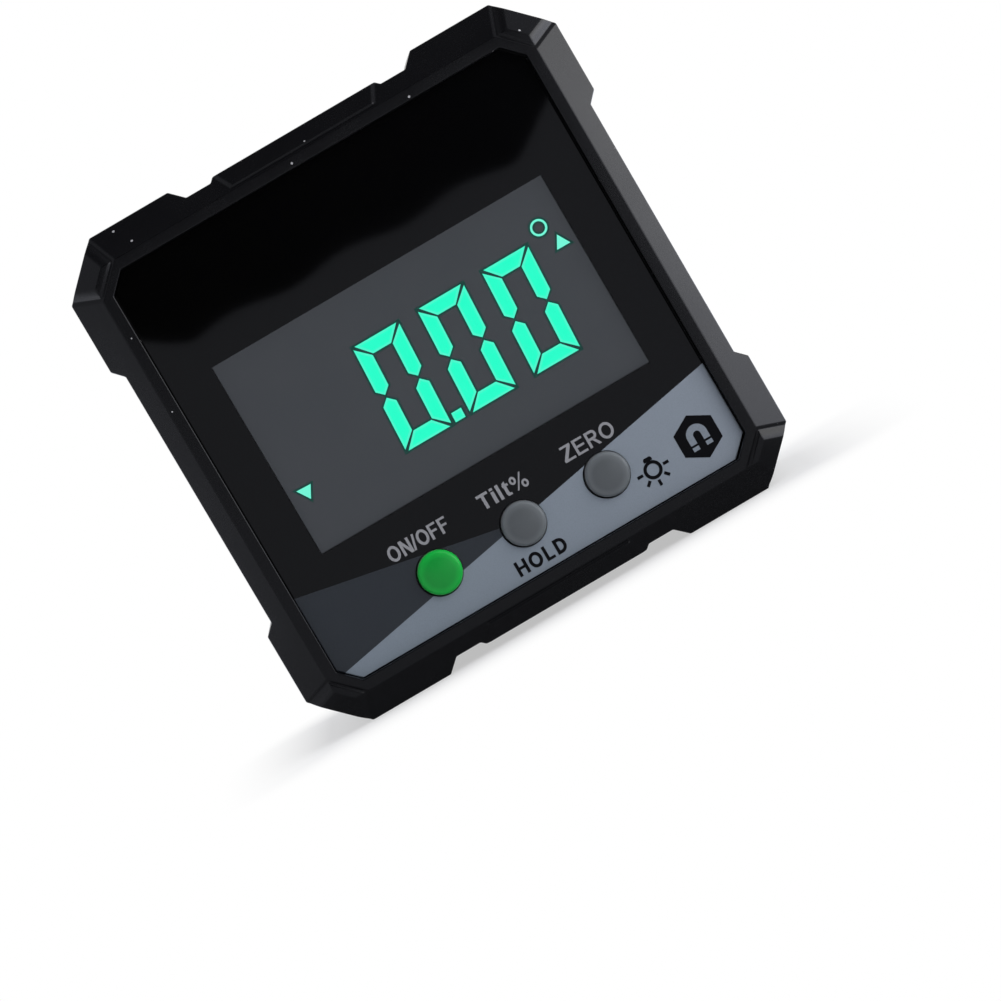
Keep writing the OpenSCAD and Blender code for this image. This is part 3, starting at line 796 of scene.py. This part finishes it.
steel = platedMetal(metals, "screwSteel", "steel")
nickel = platedMetal(metals, "nickelPlate", "nickel")
dressNode("lcd_panel", displayGlass(display))
dressNode("board_screws", steel)
for nodeName in ("negative_terminal", "positive_terminal", "cell_bridge"):
    dressNode(nodeName, nickel)
for nodeName, colour, roughness, size in plain["pieces"]:
    dressNode(nodeName, plainStuff(plain, nodeName + "Stuff", colour, roughness, size))

# Round pieces, shaded smooth
turned = {
    "smooth": 30,
    "pieces": (
        ("caseScrewHeads", "case_screws", steel, "screw_steel"),
        ("baseMagnetDiscs", "base_magnets", nickel, "magnet_plating"),
        ("contactCoils", "contact_springs", nickel, "contact_metal"),
        ("upperCellCan", "upper_cell", cellJacket(cells, "upperCellJacket", 1), "cell_jacket"),
        ("lowerCellCan", "lower_cell", cellJacket(cells, "lowerCellJacket", -1), "cell_jacket"),
    ),
}
for pieceName, nodeName, finish, slot in turned["pieces"]:
    newPiece(pieceName, mergedCopy(nodeName, False), [finish], "gauge", [nodeName], turned["smooth"])
print("inside done")

# Floor that turns white away from the gauge, with painted reflections and painted shade where the gauge
# mirrors it, and a dark flag that the gloss faceplate mirrors
stage = {
    "floorSize": 6.0, "floorDown": 0.02 * mm, "floorColour": (0.9, 0.9, 0.9, 1),
    # Near the gauge the floor shows its own shade to the camera and a painted shade to mirrors; right of
    # rightFrom it shows mirrors a painted bright patch
    "halfWide": 30 * mm, "halfDeep": 14 * mm, "fade": 15 * mm, "contact": 0.5, "paintedShadeUnder": 0.62,
    "rightFrom": 50 * mm, "rightSlant": 0.12, "paintedReflectionRight": 1.4, "brightest": 3.0,
    "ambient": 0.5, "mirrored": 0.27, "behind": 0.6, "topShade": 0.9, "sideShine": 1.3,
    "tint": (0.95, 0.98, 1.09, 1),
    "flagFront": -0.55, "flagLow": 43.3 * mm, "flagHigh": 0.6, "flagWide": 0.3, "flagSteps": 240,
    "flagColour": (0.002, 0.002, 0.002, 1), "wave": 0.95 * mm, "waveLength": 31 * mm,
    "waveStart": -1.7 * mm, "fall": 0.02, "riseFrom": 44 * mm, "rise": 0.55,
}


def floorPaper(look):
    fixed = {"Base Color": look["floorColour"], "Roughness": 1.0, "Specular IOR Level": 0.0}
    f = Finish("floorPaper", fixed)
    x, y, z = f.axes()
    camera, gloss, clear = f.rays()
    besideX = f.most(abs(x) - look["halfWide"], 0.0)
    besideY = f.most(abs(y) - look["halfDeep"], 0.0)
    far = (besideX ** 2.0 + besideY ** 2.0) ** 0.5
    near = f.most(1 - far * (1 / look["fade"]), 0.0) ** 2.0
    # Painted reflection and painted shade: mirror rays see the floor glow at a set level, dim in front,
    # white behind, brighter to the right and darker near the gauge, whatever the lamps do
    right = x + y * look["rightSlant"] > look["rightFrom"]
    level = look["mirrored"] + (y > 0.0) * (1 - look["mirrored"]) + right * look["paintedReflectionRight"]
    level = camera + (1 - camera) * level * (1 - near * look["paintedShadeUnder"])
    unlit = f.node("Emission", None, {"Strength": 0.0})
    colour = f.mix(look["tint"], (1, 1, 1, 1), camera)
    white = f.node("Emission", None, {"Color": colour, "Strength": look["brightest"]})
    shown = f.node("MixShader", None, {0: level * (1 / look["brightest"]), 1: unlit, 2: white})
    share = (1 - near * camera * look["contact"]) * f.most(camera, f.most(gloss, clear))
    f.show(f.node("MixShader", None, {0: share, 1: Wire(f.tree, f.shader.outputs[0]), 2: shown}))
    return f


# White for the camera, plain light for the gauge, and dimmer where the gauge mirrors the room
def roomLight(look):
    f = Finish("roomLight", None, True)
    x, y, z = f.apart(f.node("TexCoord", out="Generated"))
    camera, gloss, clear = f.rays()
    mirror = f.most(gloss, clear)
    shade = f.most(z, 0.0) * look["topShade"] * (1 - abs(x) * look["sideShine"])
    dim = (mirror * (look["mirrored"] - look["ambient"]) + look["ambient"]) * (1 - shade)
    white = f.most(camera, mirror * (y > look["behind"]))
    unlit = f.node("Background", None, {"Strength": 0.0})
    cool = f.node("Background", None, {"Color": look["tint"], "Strength": 1.0})
    lit = f.node("Background", None, {"Color": (1, 1, 1, 1), "Strength": 1.0})
    room = f.node("MixShader", None, {0: dim, 1: unlit, 2: cool})
    f.show(f.node("MixShader", None, {0: white, 1: room, 2: lit}))
    scene.world = f.block


def stagePiece(name, bm, finish):
    piece = meshObject(name, bm, [finish])
    return piece


bm = bmesh.new()
bmesh.ops.create_grid(bm, x_segments=1, y_segments=1, size=stage["floorSize"] / 2)
bmesh.ops.translate(bm, verts=bm.verts, vec=(0, 0, -stage["floorDown"]))
stagePiece("floor", bm, floorPaper(stage))
roomLight(stage)

bm = bmesh.new()
bmesh.ops.create_grid(bm, x_segments=stage["flagSteps"], y_segments=1, size=1)
for vert in bm.verts:
    x = vert.co.x * stage["flagWide"]
    wave = stage["wave"] * math.cos((x - stage["waveStart"]) / stage["waveLength"] * math.tau)
    edge = stage["flagLow"] + wave - stage["fall"] * x + stage["rise"] * max(0, abs(x) - stage["riseFrom"])
    vert.co = (x, stage["flagFront"], stage["flagHigh"] if vert.co.y > 0 else edge)
flagCloth = Finish("flagCloth", {"Base Color": stage["flagColour"], "Roughness": 1.0})
flag = stagePiece("darkFlag", bm, flagCloth)
flag.visible_camera = False
flag.visible_diffuse = False
flag.visible_shadow = False
print("stage done")

# Lamps: name, direction from the middle of the gauge, distance, width, height, power, mirrored by gloss
lamps = (
    ("keyLamp", (0.97, -0.24, 0.0), 0.55, 0.8, 0.26, 1.05, True),
    ("fillLamp", (0.62, -0.55, 0.55), 0.6, 0.5, 0.5, 2.55, False),
    ("backLamp", (-0.45, 0.8, 0.35), 0.6, 0.4, 0.4, 1.6, False),
)
for name, direction, distance, wide, high, power, mirrored in lamps:
    lamp = bpy.data.lights.new(name, "AREA")
    lamp.shape = "RECTANGLE"
    lamp.size = wide
    lamp.size_y = high
    lamp.energy = power
    holder = bpy.data.objects.new(name, lamp)
    holder.visible_glossy = mirrored
    scene.collection.objects.link(holder)
    aim = Vector(direction).normalized()
    holder.location = Vector((0, 0, midHeight * mm)) + aim * distance
    holder.rotation_euler = aim.to_track_quat("Z", "Y").to_euler()
print("lamps done")

# Camera: nearly square to the face, rolled so that the gauge leans to the left
view = {
    "aim": (-0.91 * mm, 0, 12.71 * mm), "distance": 0.45, "azimuth": -0.1, "elevation": 4.24, "roll": 30.38,
    "focalPixels": 4078, "framePixels": 1001, "sensor": 36, "nearest": 0.01,
}
azimuth, elevation, roll = [math.radians(view[key]) for key in ("azimuth", "elevation", "roll")]
outward = math.cos(elevation)
back = Vector((math.sin(azimuth) * outward, -math.cos(azimuth) * outward, math.sin(elevation)))
level = Vector((math.cos(azimuth), math.sin(azimuth), 0))
above = back.cross(level)
right = level * math.cos(roll) - above * math.sin(roll)
up = level * math.sin(roll) + above * math.cos(roll)
lens = bpy.data.cameras.new("photoCamera")
lens.sensor_width = view["sensor"]
lens.lens = view["sensor"] * view["focalPixels"] / view["framePixels"]
lens.clip_start = view["nearest"]
camera = bpy.data.objects.new("photoCamera", lens)
scene.collection.objects.link(camera)
stand = Matrix((right, up, back)).transposed().to_4x4()
stand.translation = Vector(view["aim"]) + back * view["distance"]
camera.matrix_world = stand
scene.camera = camera
print("camera done")
